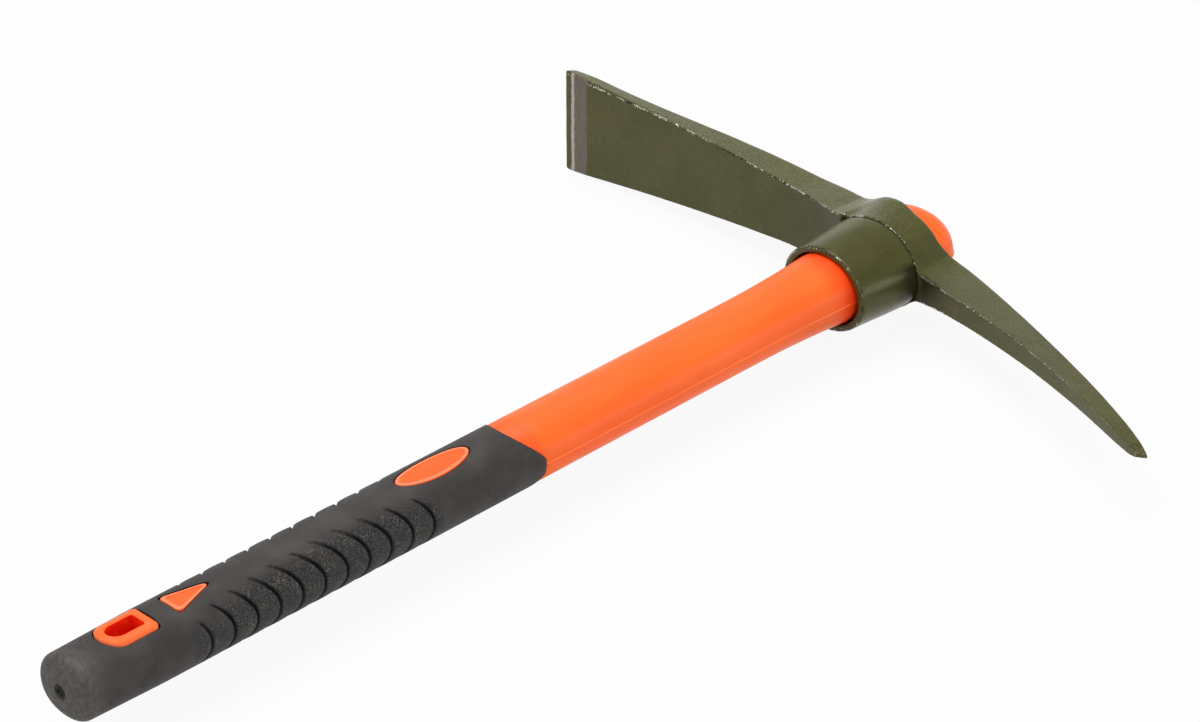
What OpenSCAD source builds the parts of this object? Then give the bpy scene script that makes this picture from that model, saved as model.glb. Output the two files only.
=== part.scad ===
// Hand mattock: a forged steel head with an adze blade and a pick, on a fibreglass-cored handle
// with an orange moulded jacket and a black rubber grip.
// X runs along the head, blade at -X and pick at +X. Y runs along the handle, butt at -Y.
// Z runs across the blade's edge. Pieces are drawn with the eye's mouth at Y = 0 and its axis on Y,
// and the whole tool is then moved so that the origin is under the middle of its box.

/* [Overall] */
// Length from the butt to the domed end of the handle
overall_length = 380; // [350:1:420]
// Length of the head from the blade's edge to the pick's tip
head_length = 290; // [270:1:320]
// From the eye's axis to the blade's edge
blade_reach = 148; // [135:1:160]

/* [Eye] */
// Height of the eye along the handle
eye_height = 40.5; // [38:0.5:46]
// Outside width of the eye at its mouth, along the head
eye_width = 35.8; // [34:0.2:40]
// Outside thickness of the eye at its mouth, across the head
eye_thickness = 29.9; // [29:0.2:34]
// Height of the parting line above the mouth
parting_height = 26; // [22:0.5:30]
// How far the parting line stands out from the mouth's outside, on each side
eye_draft = 0.7; // [0.3:0.1:1.2]
// Rounding of the eye's two rims
rim_round = 1; // [0.5:0.1:1.4]
// Wall of the eye at its mouth, along the head
mouth_wall = 2.9; // [2.4:0.1:3.2]
// Wall of the eye at its far rim, along the head
rim_wall = 2.2; // [1.9:0.1:2.8]

/* [Blade] */
// Width of the cutting edge
edge_width = 40; // [34:1:50]
// Width of the blade where it leaves the eye
blade_root_width = 22.4; // [18:0.2:24]
// How far the blade's root flares out to the eye's flanks, on each side
blade_flare = 3.5; // [2:0.1:3.8]
// Thickness of the blade where it leaves the eye
blade_root_depth = 10.2; // [8:0.2:12]
// How far the blade's root stands above the eye's rim
blade_rise = 1.8; // [0:0.2:3]
// Thickness of the blade behind its bevel
blade_depth = 5.9; // [4:0.1:7]
// How far the edge bends down towards the grip
blade_sag = 5; // [2:0.5:8]
// Length of the ground bevel on the inner face
bevel_length = 7.5; // [4:0.5:10]
// How much thickness the bevel takes off
bevel_depth = 1.4; // [0.6:0.1:2]
// Rounding of the edge's two corners
corner_round = 2.2; // [1:0.1:4]

/* [Pick] */
// Depth of the pick where it leaves the eye
pick_root_depth = 16.8; // [14:0.2:19]
// Width of the pick where it leaves the eye
pick_root_width = 8.8; // [7:0.2:11]
// Width of the pick's tip
pick_tip_width = 2.6; // [2:0.1:4]
// Depth of the pick's blunt tip
pick_tip_depth = 1.8; // [1.2:0.1:3]
// How far the tip lies below the eye's mouth
pick_drop = 7.5; // [2:0.5:14]

/* [Handle] */
// Width of the handle, along the head
handle_width = 24.1; // [22:0.1:26]
// Thickness of the handle, across the head
handle_thickness = 20.9; // [19:0.1:23]
// Width of the handle in the eye's mouth
neck_width = 26.6; // [24.6:0.2:28]
// Thickness of the handle in the eye's mouth
neck_thickness = 24.3; // [22:0.2:24.6]
// Length over which the handle swells towards the eye
neck_length = 42; // [25:1:60]
// Height of the domed end above the eye
dome_height = 15.2; // [10:0.2:18]
// How far the dome reaches over the eye's bore, on each side
dome_lip = 0.9; // [0.3:0.1:1.2]
// Diameter of the fibreglass core
core_diameter = 12; // [9:0.5:14]

/* [Grip] */
// Length of the grip, from the butt to its tongues at the sides
grip_length = 183; // [165:1:200]
// How much further the tongues at the sides reach than the grip's flat faces
tongue_length = 8.6; // [4:0.2:12]
// Wall of the rubber over the jacket
grip_wall = 2.4; // [1.8:0.1:3]
// Step from the jacket up to the rubber
grip_step = 0.3; // [0.1:0.05:0.6]
// Rubber behind the jacket's end at the butt
butt_wall = 4.5; // [3:0.5:8]
// Rounding of the butt
butt_round = 5.8; // [2:0.2:7]

/* [Scallops] */
// Distance from one scallop groove to the next
groove_pitch = 8.85; // [8:0.05:9.2]
// Radius of each scallop, seen from the side
groove_radius = 10.4; // [10:0.1:11]
// Width of a groove
groove_width = 1.1; // [0.7:0.1:1.6]
// Depth of a groove
groove_depth = 0.9; // [0.4:0.1:1.3]
// From the butt to the crest of the first scallop
groove_start = 47; // [44:0.5:52]

/* [Windows] */
// Length of the oval window
oval_length = 29.4; // [22:0.2:34]
// Width of the oval window
oval_width = 12; // [8:0.2:14]
// From the butt to the middle of the oval window
oval_place = 146.2; // [144:0.2:152]
// Length of the arrow window
arrow_length = 14.4; // [10:0.2:15]
// Width of the arrow window
arrow_width = 10; // [7:0.2:12]
// From the butt to the arrow's base
arrow_place = 42; // [40:0.5:45]
// Length of the hang boss
boss_length = 17.8; // [16:0.2:19]
// Width of the hang boss
boss_width = 12.4; // [11:0.2:14]
// From the butt to the hang boss's flat end
boss_place = 32.8; // [31:0.2:35]
// How far the hang boss stands above the rubber
boss_lift = 0.4; // [0.1:0.1:0.8]
// Rim of the hang boss round its hole
boss_rim = 3; // [2.2:0.1:3.6]
// Rounding of the corners of the arrow and the hang boss
window_round = 1; // [0.5:0.1:1.5]

/* [Hidden] */
$fn = 48;
// Points round an oval and the roundness of the handle's section
oval_points = 48;
handle_power_share = 2.15;
round_power_share = 2;
dome_power_share = 2.5;
tongue_power_share = 1.7;
// Gap between the moulded layers, and between the handle and its seat in the eye
mould_gap = 0.1;
seat_gap = 0.2;
// Overrun of every cut
over = 1;

// Handle
handle_half = [handle_width / 2, handle_thickness / 2];
neck_half = [neck_width / 2, neck_thickness / 2];
butt_y = eye_height + dome_height - overall_length;
grip_half = [for (half = handle_half) half + grip_step];
under_half = [for (half = grip_half) half - grip_wall];
boss_half = [for (half = grip_half) half + boss_lift];
grip_end_y = butt_y + grip_length;
core_radius = core_diameter / 2;

// Eye: outside and bore are ovals of one proportion
eye_half = eye_width / 2;
eye_flat_share = eye_thickness / eye_width;
bore_mouth = eye_half - mouth_wall;
bore_rim = eye_half - rim_wall;
seat_half = bore_rim - seat_gap;
dome_half = bore_rim + dome_lip;

// Forging: draft of the sides, break of the outer edges, and the step that the flash leaves
forge_draft_share = 0.05;
edge_break = 0.9;
parting_step = 0.4;
// What a rounded corner takes off, as a share of its radius
arc_share = 0.29;

// Blade: its start inside the eye, the eye's flank, the waist and the start of the widening,
// in halves of the eye, then the start of the edge's nose and of its bevel
blade_root_shares = [0.1, 0.56, 1.12, 2.24];
blade_start = eye_half * blade_root_shares[0];
flank_x = eye_half * blade_root_shares[1];
waist_x = eye_half * blade_root_shares[2];
widen_x = eye_half * blade_root_shares[3];
nose_length = 1.6;
nose_x = blade_reach - nose_length;
bevel_x = nose_x - bevel_length;
// Fillet from the blade's inner face down to the eye, and how far along the blade it runs
blade_fillet = 6.5;
fillet_share = 0.22;
// Start of the inner face's bend, and start and end of the outer face's bend, along the blade
inner_bend_share = 0.42;
outer_bend_shares = [0.32, 0.95];
// Rings along the blade from bevel to waist, and round the flare
blade_steps = 12;
flare_steps = 6;
// Rings of the nose: set back, lift of the inner face, drop of the outer face, and narrowing
nose_shares = [[0, 0.4, 0.35, 1], [arc_share, 0.14, 0.12, arc_share], [1, 0, 0, 0]];

// Pick: its two edges are curves whose control points are shares of its reach and of its fall
pick_reach = head_length - blade_reach;
pick_start = eye_half - mouth_wall;
pick_flare = 4.2;
pick_flare_share = 0.2;
pick_steps = 16;
pick_inner_x_shares = [0.61, 0.85, 0.975];
pick_inner_y_shares = [0.21, 0.925];
pick_outer_x_shares = [0.2, 0.83, 1];
pick_outer_y_shares = [-0.16, 0.63];

// Hang hole inside its boss
hole_width = boss_width - 2 * boss_rim;
hole_length = boss_length - 2 * boss_rim;
hole_y = butt_y + boss_place - boss_rim;
core_end_y = hole_y + 2 * boss_rim;
core_top_y = eye_height + dome_height / 2;

// How far up each scallop groove climbs, as a share of its radius
groove_reach_shares = [0.66, 0.85, 0.91, 0.93, 0.95, 0.96, 0.97, 0.97, 0.95, 0.91, 0.84];

// Middle of the tool's box, to bring the origin under it
box_middle = [
    (pick_reach - blade_reach) / 2,
    (butt_y + eye_height + dome_height) / 2,
    -edge_width / 2
];

function mix(a, b, share) = a + (b - a) * share;
function ease(share) = share * share * (3 - 2 * share);
function limit(share) = max(0, min(1, share));
function bezier(p, t) =
    p[0] * pow(1 - t, 3) + 3 * p[1] * t * pow(1 - t, 2) + 3 * p[2] * t * t * (1 - t) + p[3] * pow(t, 3);

// Closed oval outline, rounder or squarer by its power
function oval(half, power) = [
    for (i = [0:oval_points - 1])
        let (turn = 360 * i / oval_points, c = cos(turn), s = sin(turn))
        [half[0] * sign(c) * pow(abs(c), 2 / power), half[1] * sign(s) * pow(abs(s), 2 / power)]
];

// The same outline as a ring across the handle at height y
function handle_ring(y, half, power) = [for (p = oval(half, power)) [p[0], y, p[1]]];

// Skin over a row of rings with equal point counts, closed at both ends
module loft(rings) {
    count = len(rings[0]);
    last = len(rings) - 1;
    points = [for (ring = rings) each ring];
    sides = [
        for (r = [0:last - 1], i = [0:count - 1])
            let (a = r * count + i, b = r * count + (i + 1) % count)
            each [[a, b, b + count], [a, b + count, a + count]]
    ];
    start_cap = [[for (i = [count - 1:-1:0]) i]];
    end_cap = [[for (i = [0:count - 1]) last * count + i]];
    polyhedron(points, concat(sides, start_cap, end_cap));
}

// Straight oval bar along the handle
module handle_bar(from_y, to_y, half) {
    translate([0, to_y, 0])
        rotate([90, 0, 0])
            linear_extrude(to_y - from_y)
                polygon(oval(half, handle_power_share));
}

// Prism through the handle from face to face, drawn from a plan outline
module through_handle() {
    translate([0, 0, -handle_thickness])
        linear_extrude(2 * handle_thickness)
            children();
}

// Head

// One forged section: a flat inner face with sharp parting edges, drafted sides and broken outer edges
function forged_ring(inner, outer, half) =
    let (
        depth = norm(outer - inner),
        top = half - depth * forge_draft_share,
        cut = min(edge_break, depth / 3, top / 2),
        arc = cut * arc_share,
        places = [
            [0, -half], [0, half],
            [depth - cut, top], [depth - arc, top - arc], [depth, top - cut],
            [depth, cut - top], [depth - arc, arc - top], [depth - cut, -top]
        ]
    )
    [for (p = places) let (q = inner + (outer - inner) * p[0] / depth) [q[0], q[1], p[1]]];

// Blade: distances run from the eye's axis to the edge
function blade_half(x) =
    mix(blade_root_width, edge_width, limit((x - widen_x) / (nose_x - widen_x))) / 2
        + blade_flare * (1 - ease(limit((x - flank_x) / (waist_x - flank_x))));
function blade_inner(x) =
    let (bend_x = blade_reach * inner_bend_share)
    eye_height - blade_root_depth
        - blade_sag * pow(limit((x - bend_x) / (blade_reach - bend_x)), 2)
        - blade_fillet * pow(limit(1 - (x - pick_start) / (blade_reach * fillet_share)), 2);
function blade_outer(x) =
    let (bend = blade_reach * outer_bend_shares, edge_y = blade_inner(bevel_x) + blade_depth)
    mix(eye_height + blade_rise, edge_y, ease(limit((x - bend[0]) / (bend[1] - bend[0]))));
function blade_ring(x, lift, drop, narrow) =
    forged_ring([-x, blade_inner(x) + lift], [-x, blade_outer(x) - drop], blade_half(x) - narrow);

module blade() {
    nose_depth = blade_depth - bevel_depth;
    nose = [
        for (s = nose_shares)
            blade_ring(blade_reach - nose_length * s[0], bevel_depth + nose_depth * s[1], nose_depth * s[2],
                corner_round * s[3])
    ];
    body = [for (i = [0:blade_steps - 1]) blade_ring(mix(bevel_x, waist_x, i / blade_steps), 0, 0, 0)];
    flare = [for (i = [0:flare_steps]) blade_ring(mix(waist_x, flank_x, i / flare_steps), 0, 0, 0)];
    loft(concat(nose, body, flare, [blade_ring(blade_start, 0, 0, 0)]));
}

// Control points of an edge of the pick, falling from root_y to tip_y
function pick_edge(root_y, tip_y, x_shares, y_shares) = [
    [pick_start, root_y],
    [pick_reach * x_shares[0], mix(root_y, tip_y, y_shares[0])],
    [pick_reach * x_shares[1], mix(root_y, tip_y, y_shares[1])],
    [pick_reach * x_shares[2], tip_y]
];
pick_inner = pick_edge(eye_height - pick_root_depth, -pick_drop - pick_tip_depth / 2,
    pick_inner_x_shares, pick_inner_y_shares);
pick_outer = pick_edge(eye_height, pick_tip_depth - pick_drop, pick_outer_x_shares, pick_outer_y_shares);
function pick_ring(t) =
    forged_ring(bezier(pick_inner, t), bezier(pick_outer, t),
        mix(pick_root_width, pick_tip_width, t) / 2 + pick_flare * pow(limit(1 - t / pick_flare_share), 2));

module pick() {
    loft([for (i = [0:pick_steps]) pick_ring(i / pick_steps)]);
}

// Round profile of the eye, turned about its axis and flattened to the eye's oval
module eye_turned(profile) {
    scale([1, 1, eye_flat_share])
        rotate([-90, 0, 0])
            rotate_extrude()
                polygon(profile);
}

module eye_body() {
    inset = rim_round * arc_share;
    eye_turned([
        [0, 0],
        [eye_half - rim_round, 0],
        [eye_half - inset, inset],
        [eye_half, rim_round],
        [eye_half + eye_draft, parting_height],
        [eye_half + eye_draft + parting_step, parting_height],
        [eye_half, eye_height - rim_round],
        [eye_half - inset, eye_height - inset],
        [eye_half - rim_round, eye_height],
        [0, eye_height]
    ]);
}

module eye_bore() {
    slope = (bore_rim - bore_mouth) / eye_height;
    eye_turned([
        [0, -over],
        [bore_mouth - slope * over, -over],
        [bore_rim + slope * over, eye_height + over],
        [0, eye_height + over]
    ]);
}

// Room for the dome on the rim, between the risen roots of the blade and the pick
module dome_seat() {
    eye_turned([
        [0, eye_height],
        [dome_half + seat_gap, eye_height],
        [dome_half + seat_gap, eye_height + dome_height],
        [0, eye_height + dome_height]
    ]);
}

module head() {
    color([0.36, 0.36, 0.26])
        translate(-box_middle)
            difference() {
                union() {
                    eye_body();
                    blade();
                    pick();
                }
                eye_bore();
                dome_seat();
            }
}

// Handle

module core_rod(radius, from_y, to_y) {
    translate([0, to_y, 0])
        rotate([90, 0, 0])
            cylinder(r = radius, h = to_y - from_y);
}

module handle_core() {
    color([0.86, 0.84, 0.72])
        translate(-box_middle)
            core_rod(core_radius, core_end_y, core_top_y);
}

// Plan outlines of the three windows, wider all round by grow

module oval_outline(grow) {
    translate([0, butt_y + oval_place])
        scale([(oval_width + 2 * grow) / (oval_length + 2 * grow), 1])
            circle(d = oval_length + 2 * grow);
}

// Rounded outline of the corner points of a plan shape
module rounded_outline(corners, radius) {
    hull()
        for (p = corners)
            translate(p)
                circle(r = radius);
}

module arrow_outline(grow) {
    side = arrow_width / 2 - window_round;
    base = butt_y + arrow_place + window_round;
    tip = butt_y + arrow_place + arrow_length - window_round;
    rounded_outline([[-side, base], [side, base], [0, tip]], window_round + grow);
}

// D shape: flat end towards the head, round end towards the butt
module d_outline(width, length, flat_y, corner, grow) {
    round_y = flat_y - length + width / 2;
    side = width / 2 - corner;
    hull() {
        for (x = [-side, side])
            translate([x, flat_y - corner])
                circle(r = corner + grow);
        translate([0, round_y])
            circle(d = width + 2 * grow);
    }
}

module boss_outline(grow) {
    d_outline(boss_width, boss_length, butt_y + boss_place, window_round, grow);
}

// Plan outlines of the two islands that lie flush with the rubber
module island_outlines(grow) {
    oval_outline(grow);
    arrow_outline(grow);
}

// Side view of everything on the head side of the grip's end, moved along the handle by shift
module beyond_grip(shift) {
    steps = 12;
    reach = handle_thickness;
    curve = [
        for (i = [-steps:steps])
            let (share = i / steps)
            [grip_end_y + shift - tongue_length * pow(abs(share), tongue_power_share), share * grip_half[1]]
    ];
    rest = [
        [grip_end_y + shift - tongue_length, reach],
        [overall_length, reach],
        [overall_length, -reach],
        [grip_end_y + shift - tongue_length, -reach]
    ];
    translate([-handle_width, 0, 0])
        rotate([90, 0, 90])
            linear_extrude(2 * handle_width)
                polygon(concat(curve, rest));
}

// Swelling neck, the taper that seats in the eye, and the dome above it
module neck_and_dome() {
    neck_steps = 6;
    dome_steps = 9;
    dome_turn = 85;
    shoulder_y = eye_height + mould_gap;
    dome_rise = dome_height - mould_gap;
    neck = [
        for (i = [0:neck_steps])
            let (share = i / neck_steps)
            handle_ring(-neck_length * (1 - share),
                [for (k = [0, 1]) mix(handle_half[k], neck_half[k], share * share)],
                mix(handle_power_share, round_power_share, share))
    ];
    taper = [handle_ring(shoulder_y, [seat_half, seat_half * eye_flat_share], round_power_share)];
    dome = [
        for (i = [0:dome_steps])
            let (share = sin(dome_turn * i / dome_steps),
                 half = dome_half * sqrt(1 - pow(share, dome_power_share)))
            handle_ring(shoulder_y + dome_rise * share / sin(dome_turn),
                [half, half * eye_flat_share], round_power_share)
    ];
    loft(concat(neck, taper, dome));
}

module handle_jacket() {
    color([0.98, 0.42, 0.2])
        translate(-box_middle)
            difference() {
                union() {
                    neck_and_dome();
                    intersection() {
                        handle_bar(grip_end_y - 2 * tongue_length, -neck_length, handle_half);
                        beyond_grip(mould_gap);
                    }
                    handle_bar(butt_y + butt_wall, grip_end_y, under_half);
                    intersection() {
                        handle_bar(butt_y + butt_wall, grip_end_y, grip_half);
                        through_handle()
                            island_outlines(0);
                    }
                    intersection() {
                        handle_bar(butt_y + butt_wall, grip_end_y, boss_half);
                        through_handle()
                            boss_outline(0);
                    }
                }
                core_rod(core_radius + mould_gap, core_end_y - mould_gap, core_top_y + mould_gap);
                through_handle()
                    d_outline(hole_width, hole_length, hole_y, window_round, 0);
            }
}

// Grip

// The butt closes in over its last few millimetres on a quarter round
module butt_end() {
    steps = 5;
    loft([
        for (i = [0:steps])
            let (turn = 90 * i / steps, inset = butt_round * (1 - sin(turn)))
            handle_ring(butt_y + butt_round * (1 - cos(turn)), [for (half = grip_half) half - inset],
                handle_power_share)
    ]);
}

// One scallop groove: part of a ring about an axis along X, on the side given by its sign
module scallop_groove(reach_share, side) {
    climb = asin(reach_share);
    rotate([0, 90 * side, 0])
        rotate([0, 0, 90 - climb])
            rotate_extrude(angle = 2 * climb)
                translate([groove_radius - groove_width / 2, 0])
                    square([groove_width, handle_width]);
}

module scallops() {
    inset_half = [for (half = grip_half) half - groove_depth];
    difference() {
        for (i = [0:len(groove_reach_shares) - 1], side = [-1, 1])
            translate([0, butt_y + groove_start + i * groove_pitch - groove_radius, 0])
                scallop_groove(groove_reach_shares[i], side);
        handle_bar(butt_y, grip_end_y, inset_half);
    }
}

module grip() {
    color([0.24, 0.23, 0.22])
        translate(-box_middle)
            difference() {
                union() {
                    handle_bar(butt_y + butt_round, grip_end_y, grip_half);
                    butt_end();
                }
                beyond_grip(0);
                handle_bar(butt_y + butt_wall - mould_gap, grip_end_y + over,
                    [for (half = under_half) half + mould_gap]);
                through_handle() {
                    island_outlines(mould_gap);
                    boss_outline(mould_gap);
                }
                scallops();
            }
}

head();
handle_core();
handle_jacket();
grip();
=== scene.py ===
import math

import bmesh
import bpy
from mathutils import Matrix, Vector


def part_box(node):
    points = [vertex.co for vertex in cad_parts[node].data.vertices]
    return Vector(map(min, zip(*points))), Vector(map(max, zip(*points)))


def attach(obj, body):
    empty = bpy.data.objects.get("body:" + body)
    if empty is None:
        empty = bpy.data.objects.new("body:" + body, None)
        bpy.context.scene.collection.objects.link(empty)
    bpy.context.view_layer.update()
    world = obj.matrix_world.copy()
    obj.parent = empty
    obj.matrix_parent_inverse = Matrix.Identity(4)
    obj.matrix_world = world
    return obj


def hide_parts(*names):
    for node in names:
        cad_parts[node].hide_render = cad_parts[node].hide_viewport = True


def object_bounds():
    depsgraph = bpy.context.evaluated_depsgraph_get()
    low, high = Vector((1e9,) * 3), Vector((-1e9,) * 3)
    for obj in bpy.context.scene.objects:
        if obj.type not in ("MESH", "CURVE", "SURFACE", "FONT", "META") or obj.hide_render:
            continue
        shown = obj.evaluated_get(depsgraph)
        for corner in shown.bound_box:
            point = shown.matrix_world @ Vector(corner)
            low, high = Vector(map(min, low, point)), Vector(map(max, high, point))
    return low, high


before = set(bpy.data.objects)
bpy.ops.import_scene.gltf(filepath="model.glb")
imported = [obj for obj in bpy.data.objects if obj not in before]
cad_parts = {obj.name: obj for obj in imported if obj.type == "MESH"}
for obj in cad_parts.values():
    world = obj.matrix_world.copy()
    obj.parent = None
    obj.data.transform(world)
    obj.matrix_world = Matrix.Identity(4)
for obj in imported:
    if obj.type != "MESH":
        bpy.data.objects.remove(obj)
cad_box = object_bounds()


# Handle core
# A pultruded fibreglass rod, bonded inside the handle to stiffen it. The plastic is moulded round it, so it
# stays as the frame's own solid, with a pale resin finish and fine strands along its length.

resin_pale = (0.74, 0.70, 0.48)
resin_dark = (0.60, 0.55, 0.34)
resin_roughness = 0.45
strand_width = 0.4
strand_stretch = (1, 0.03, 1)
strand_relief = (0.3, 0.0002)


def set_inputs(tree, node, inputs):
    """Sets each of a shader node's inputs to a value, or links it to another node's output."""
    for socket, value in inputs.items():
        if isinstance(value, bpy.types.NodeSocket):
            tree.links.new(value, node.inputs[socket])
        else:
            node.inputs[socket].default_value = value


def add_node(tree, kind, inputs, **options):
    """Adds a shader node with its options and inputs."""
    made = tree.nodes.new("ShaderNode" + kind)
    for option, value in options.items():
        setattr(made, option, value)
    set_inputs(tree, made, inputs)
    return made


def start_finish(name, color, roughness):
    """Makes a material and returns it with its node tree and its surface shader."""
    finish = bpy.data.materials.new(name)
    finish.use_nodes = True
    shader = finish.node_tree.nodes["Principled BSDF"]
    set_inputs(finish.node_tree, shader, {"Base Color": (*color, 1), "Roughness": roughness})
    return finish, finish.node_tree, shader


def grain(tree, mark, detail=2, stretch=(1, 1, 1)):
    """A noise pattern on the piece's own coordinates, with marks about that many millimetres across."""
    place = add_node(tree, "TexCoord", {}).outputs["Object"]
    placed = add_node(tree, "Mapping", {"Vector": place, "Scale": stretch}).outputs["Vector"]
    inputs = {"Vector": placed, "Scale": 1000 / mark, "Detail": detail}
    return add_node(tree, "TexNoise", inputs).outputs["Fac"]


def tint(tree, share, first, second):
    """Mixes two colours by a share from 0 to 1."""
    inputs = {"Factor": share}
    for socket, color in ((6, first), (7, second)):
        inputs[socket] = color if isinstance(color, bpy.types.NodeSocket) else (*color, 1)
    return add_node(tree, "Mix", inputs, data_type="RGBA").outputs[2]


def bump(tree, shader, pattern, strength, distance):
    """Gives a shader fine relief that follows a pattern, up to that distance in metres."""
    inputs = {"Height": pattern, "Strength": strength, "Distance": distance}
    set_inputs(tree, shader, {"Normal": add_node(tree, "Bump", inputs).outputs["Normal"]})


resin, tree, shader = start_finish("fibreglass_resin", resin_pale, resin_roughness)
strands = grain(tree, strand_width, detail=3, stretch=strand_stretch)
set_inputs(tree, shader, {"Base Color": tint(tree, strands, resin_dark, resin_pale)})
bump(tree, shader, strands, *strand_relief)
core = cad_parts["handle_core"]
core.data.materials.clear()
core.data.materials.append(resin)


# Orange handle
# The handle's body, injection moulded in orange plastic round the rod. It swells towards the eye, tapers
# outwards inside it so that the head jams, and ends in a dome. Three islands rise through the rubber.

eye_height = 40.5
dome_height = 15.2
jacket_low, jacket_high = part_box("handle_jacket")
eye_mouth = (jacket_low + jacket_high) / 2
eye_mouth.y = jacket_high.y - (eye_height + dome_height) / 1000
grip_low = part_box("grip")[0]
butt_place = (grip_low.y - eye_mouth.y) * 1000

near_enough = 0.01
weld_distance = 0.0005
fit_gap = 0.1
handle_sides = 192
handle_power = 2.15
handle_half = Vector((12.05, 10.45))
handle_smooth_angle = 35
neck_half = Vector((13.3, 12.15))
neck_length = 42
neck_steps = 8
seat_half = Vector((15.3, 12.7))
dome_half = Vector((17.2, 13.5))
dome_power = 2.25
dome_steps = 16
dome_edge = 0.4
dome_tip_share = 0.02
under_half = Vector((9.95, 8.35))
under_taper, under_taper_share = 1, 0.9
butt_wall = 4.5
grip_end = -141.3
tongue_length = 8.6
tongue_power = 1.2
tongue_tip = (0.15, 0.35)
tongue_fades = 4
lip_round = 0.35
lip_steps = ((0, lip_round), (0.4, 0.1), (1, 0))
seam_height = 0.42
seam_stop = 1


def draw_in(half, inset):
    """A ring's two half sizes, made smaller by the same inset."""
    return half - Vector((inset, inset))


def start_ring(name, sides, power):
    """Adds a ring across the handle, one unit in half width, and leaves it selected in edit mode."""
    bpy.ops.object.select_all(action="DESELECT")
    bpy.ops.mesh.primitive_circle_add(vertices=sides, radius=1, rotation=(math.pi / 2, 0, 0))
    ring = bpy.context.object
    ring.name = name
    bpy.ops.object.transform_apply(location=False, rotation=True, scale=False)
    for vertex in ring.data.vertices:
        vertex.co.x = math.copysign(abs(vertex.co.x) ** (2 / power), vertex.co.x)
        vertex.co.z = math.copysign(abs(vertex.co.z) ** (2 / power), vertex.co.z)
    bpy.ops.object.mode_set(mode="EDIT")
    bpy.ops.mesh.select_mode(type="EDGE")
    bpy.ops.mesh.select_all(action="SELECT")
    return ring


def pull_ring(piece, stations):
    """Extrudes the selected ring through stations, each a place along the handle and the ring's half sizes.
    A station's last value is how far the ring falls back towards the butt on the two broad faces."""
    half = Vector((1, 1))
    for step, (place, next_half, fall) in enumerate(stations):
        if step:
            bpy.ops.mesh.extrude_region_move()
        bpy.ops.transform.resize(value=(next_half[0] / half[0], 1, next_half[1] / half[1]),
                                 center_override=(0, place, 0))
        half = next_half
        mesh = bmesh.from_edit_mesh(piece.data)
        for vertex in mesh.verts:
            if vertex.select:
                tip = tongue_tip[vertex.co.z < 0]
                up_face = (abs(vertex.co.z / half[1]) - tip) / (1 - tip)
                vertex.co.y = place - fall * max(0, up_face) ** tongue_power
        bmesh.update_edit_mesh(piece.data)


def close_mesh():
    """Merges doubles, caps every open ring, points the faces outwards and goes back to object mode."""
    bpy.ops.mesh.select_all(action="SELECT")
    bpy.ops.mesh.remove_doubles(threshold=weld_distance)
    bpy.ops.mesh.fill_holes(sides=0)
    bpy.ops.mesh.normals_make_consistent(inside=False)
    bpy.ops.object.mode_set(mode="OBJECT")


def pick_out(piece):
    """Makes a piece the active one and the only one selected."""
    bpy.ops.object.select_all(action="DESELECT")
    piece.select_set(True)
    bpy.context.view_layer.objects.active = piece


def combine(piece, tool, operation):
    """Cuts or joins a piece with a tool by a boolean, then removes the tool."""
    pick_out(piece)
    joint = piece.modifiers.new(operation.lower(), "BOOLEAN")
    joint.operation = operation
    joint.object = tool
    joint.solver = "EXACT"
    bpy.ops.object.modifier_apply(modifier=joint.name)
    bpy.data.objects.remove(tool)


def set_in_frame(piece, smooth_angle):
    """Takes a piece from millimetres about the eye's mouth to its place in the frame, in metres."""
    pick_out(piece)
    piece.scale = (0.001, 0.001, 0.001)
    piece.location = eye_mouth
    bpy.ops.object.transform_apply(location=True, rotation=True, scale=True)
    bpy.ops.object.shade_smooth_by_angle(angle=math.radians(smooth_angle))


under_start = butt_place + butt_wall
lip_start = grip_end + fit_gap
dome_start = eye_height + fit_gap
dome_top = eye_height + dome_height
stations = [(under_start, under_half * under_taper_share, 0), (under_start + under_taper, under_half, 0)]
stations.append((lip_start, under_half, tongue_length))
for place_share, inset in lip_steps:
    stations.append((lip_start + lip_round * place_share, draw_in(handle_half, inset), tongue_length))
stations.append((grip_end + tongue_fades, handle_half, 0))
for step in range(neck_steps + 1):
    share = step / neck_steps
    stations.append((neck_length * (share - 1), handle_half.lerp(neck_half, share ** 2), 0))
stations.append((dome_start, seat_half, 0))
stations.append((dome_start, draw_in(dome_half, dome_edge), 0))
for step in range(dome_steps):
    share = math.sin(math.pi / 2 * step / dome_steps)
    place = eye_height + dome_edge + (dome_height - dome_edge) * share
    stations.append((place, dome_half * math.sqrt(1 - share ** dome_power), 0))
stations.append((dome_top, dome_half * dome_tip_share, 0))

orange_handle = start_ring("orange_handle", handle_sides, handle_power)
pull_ring(orange_handle, stations)
close_mesh()
for vertex in orange_handle.data.vertices:
    if abs(vertex.co.z) < near_enough and grip_end < vertex.co.y < dome_top - seam_stop:
        vertex.co.x += math.copysign(seam_height, vertex.co.x)

grip_half = Vector((12.35, 10.75))
oval_place, oval_size = -178.4, (10.2, 29.6)
oval_sides = 72
arrow_base, arrow_size = -283.5, (8, 13.6)
arrow_corner, arrow_tip_corner, arrow_tip_cut = 1.5, 4.2, 3.4
arrow_cut_share, arrow_round_share = 0.8, 1.7
arrow_side_growth, arrow_tip_growth = 1.6, 2
boss_half = Vector((12.75, 11.15))
boss_flat_end, boss_size = -291.5, (12.4, 17.8)
boss_rim = 3
boss_corner = 1.5
boss_round_share = 0.985
boss_bore_share = 1.1
corner_segments = 8
island_edge = 0.45
island_edge_segments = 3
island_loops = 4
island_rim = 0.75
island_sink = 0.3
loop_inset = 0.0001
sharp_angle = 1
flat_normal = 0.99
hole_wall_normal = 0.6
rim_reach = 0.13
# Shares of painted highlight on the islands' rims, where it also stands for wear, and along the seam.
rim_highlight_share, seam_highlight_share = 0.42, 0.3


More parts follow.
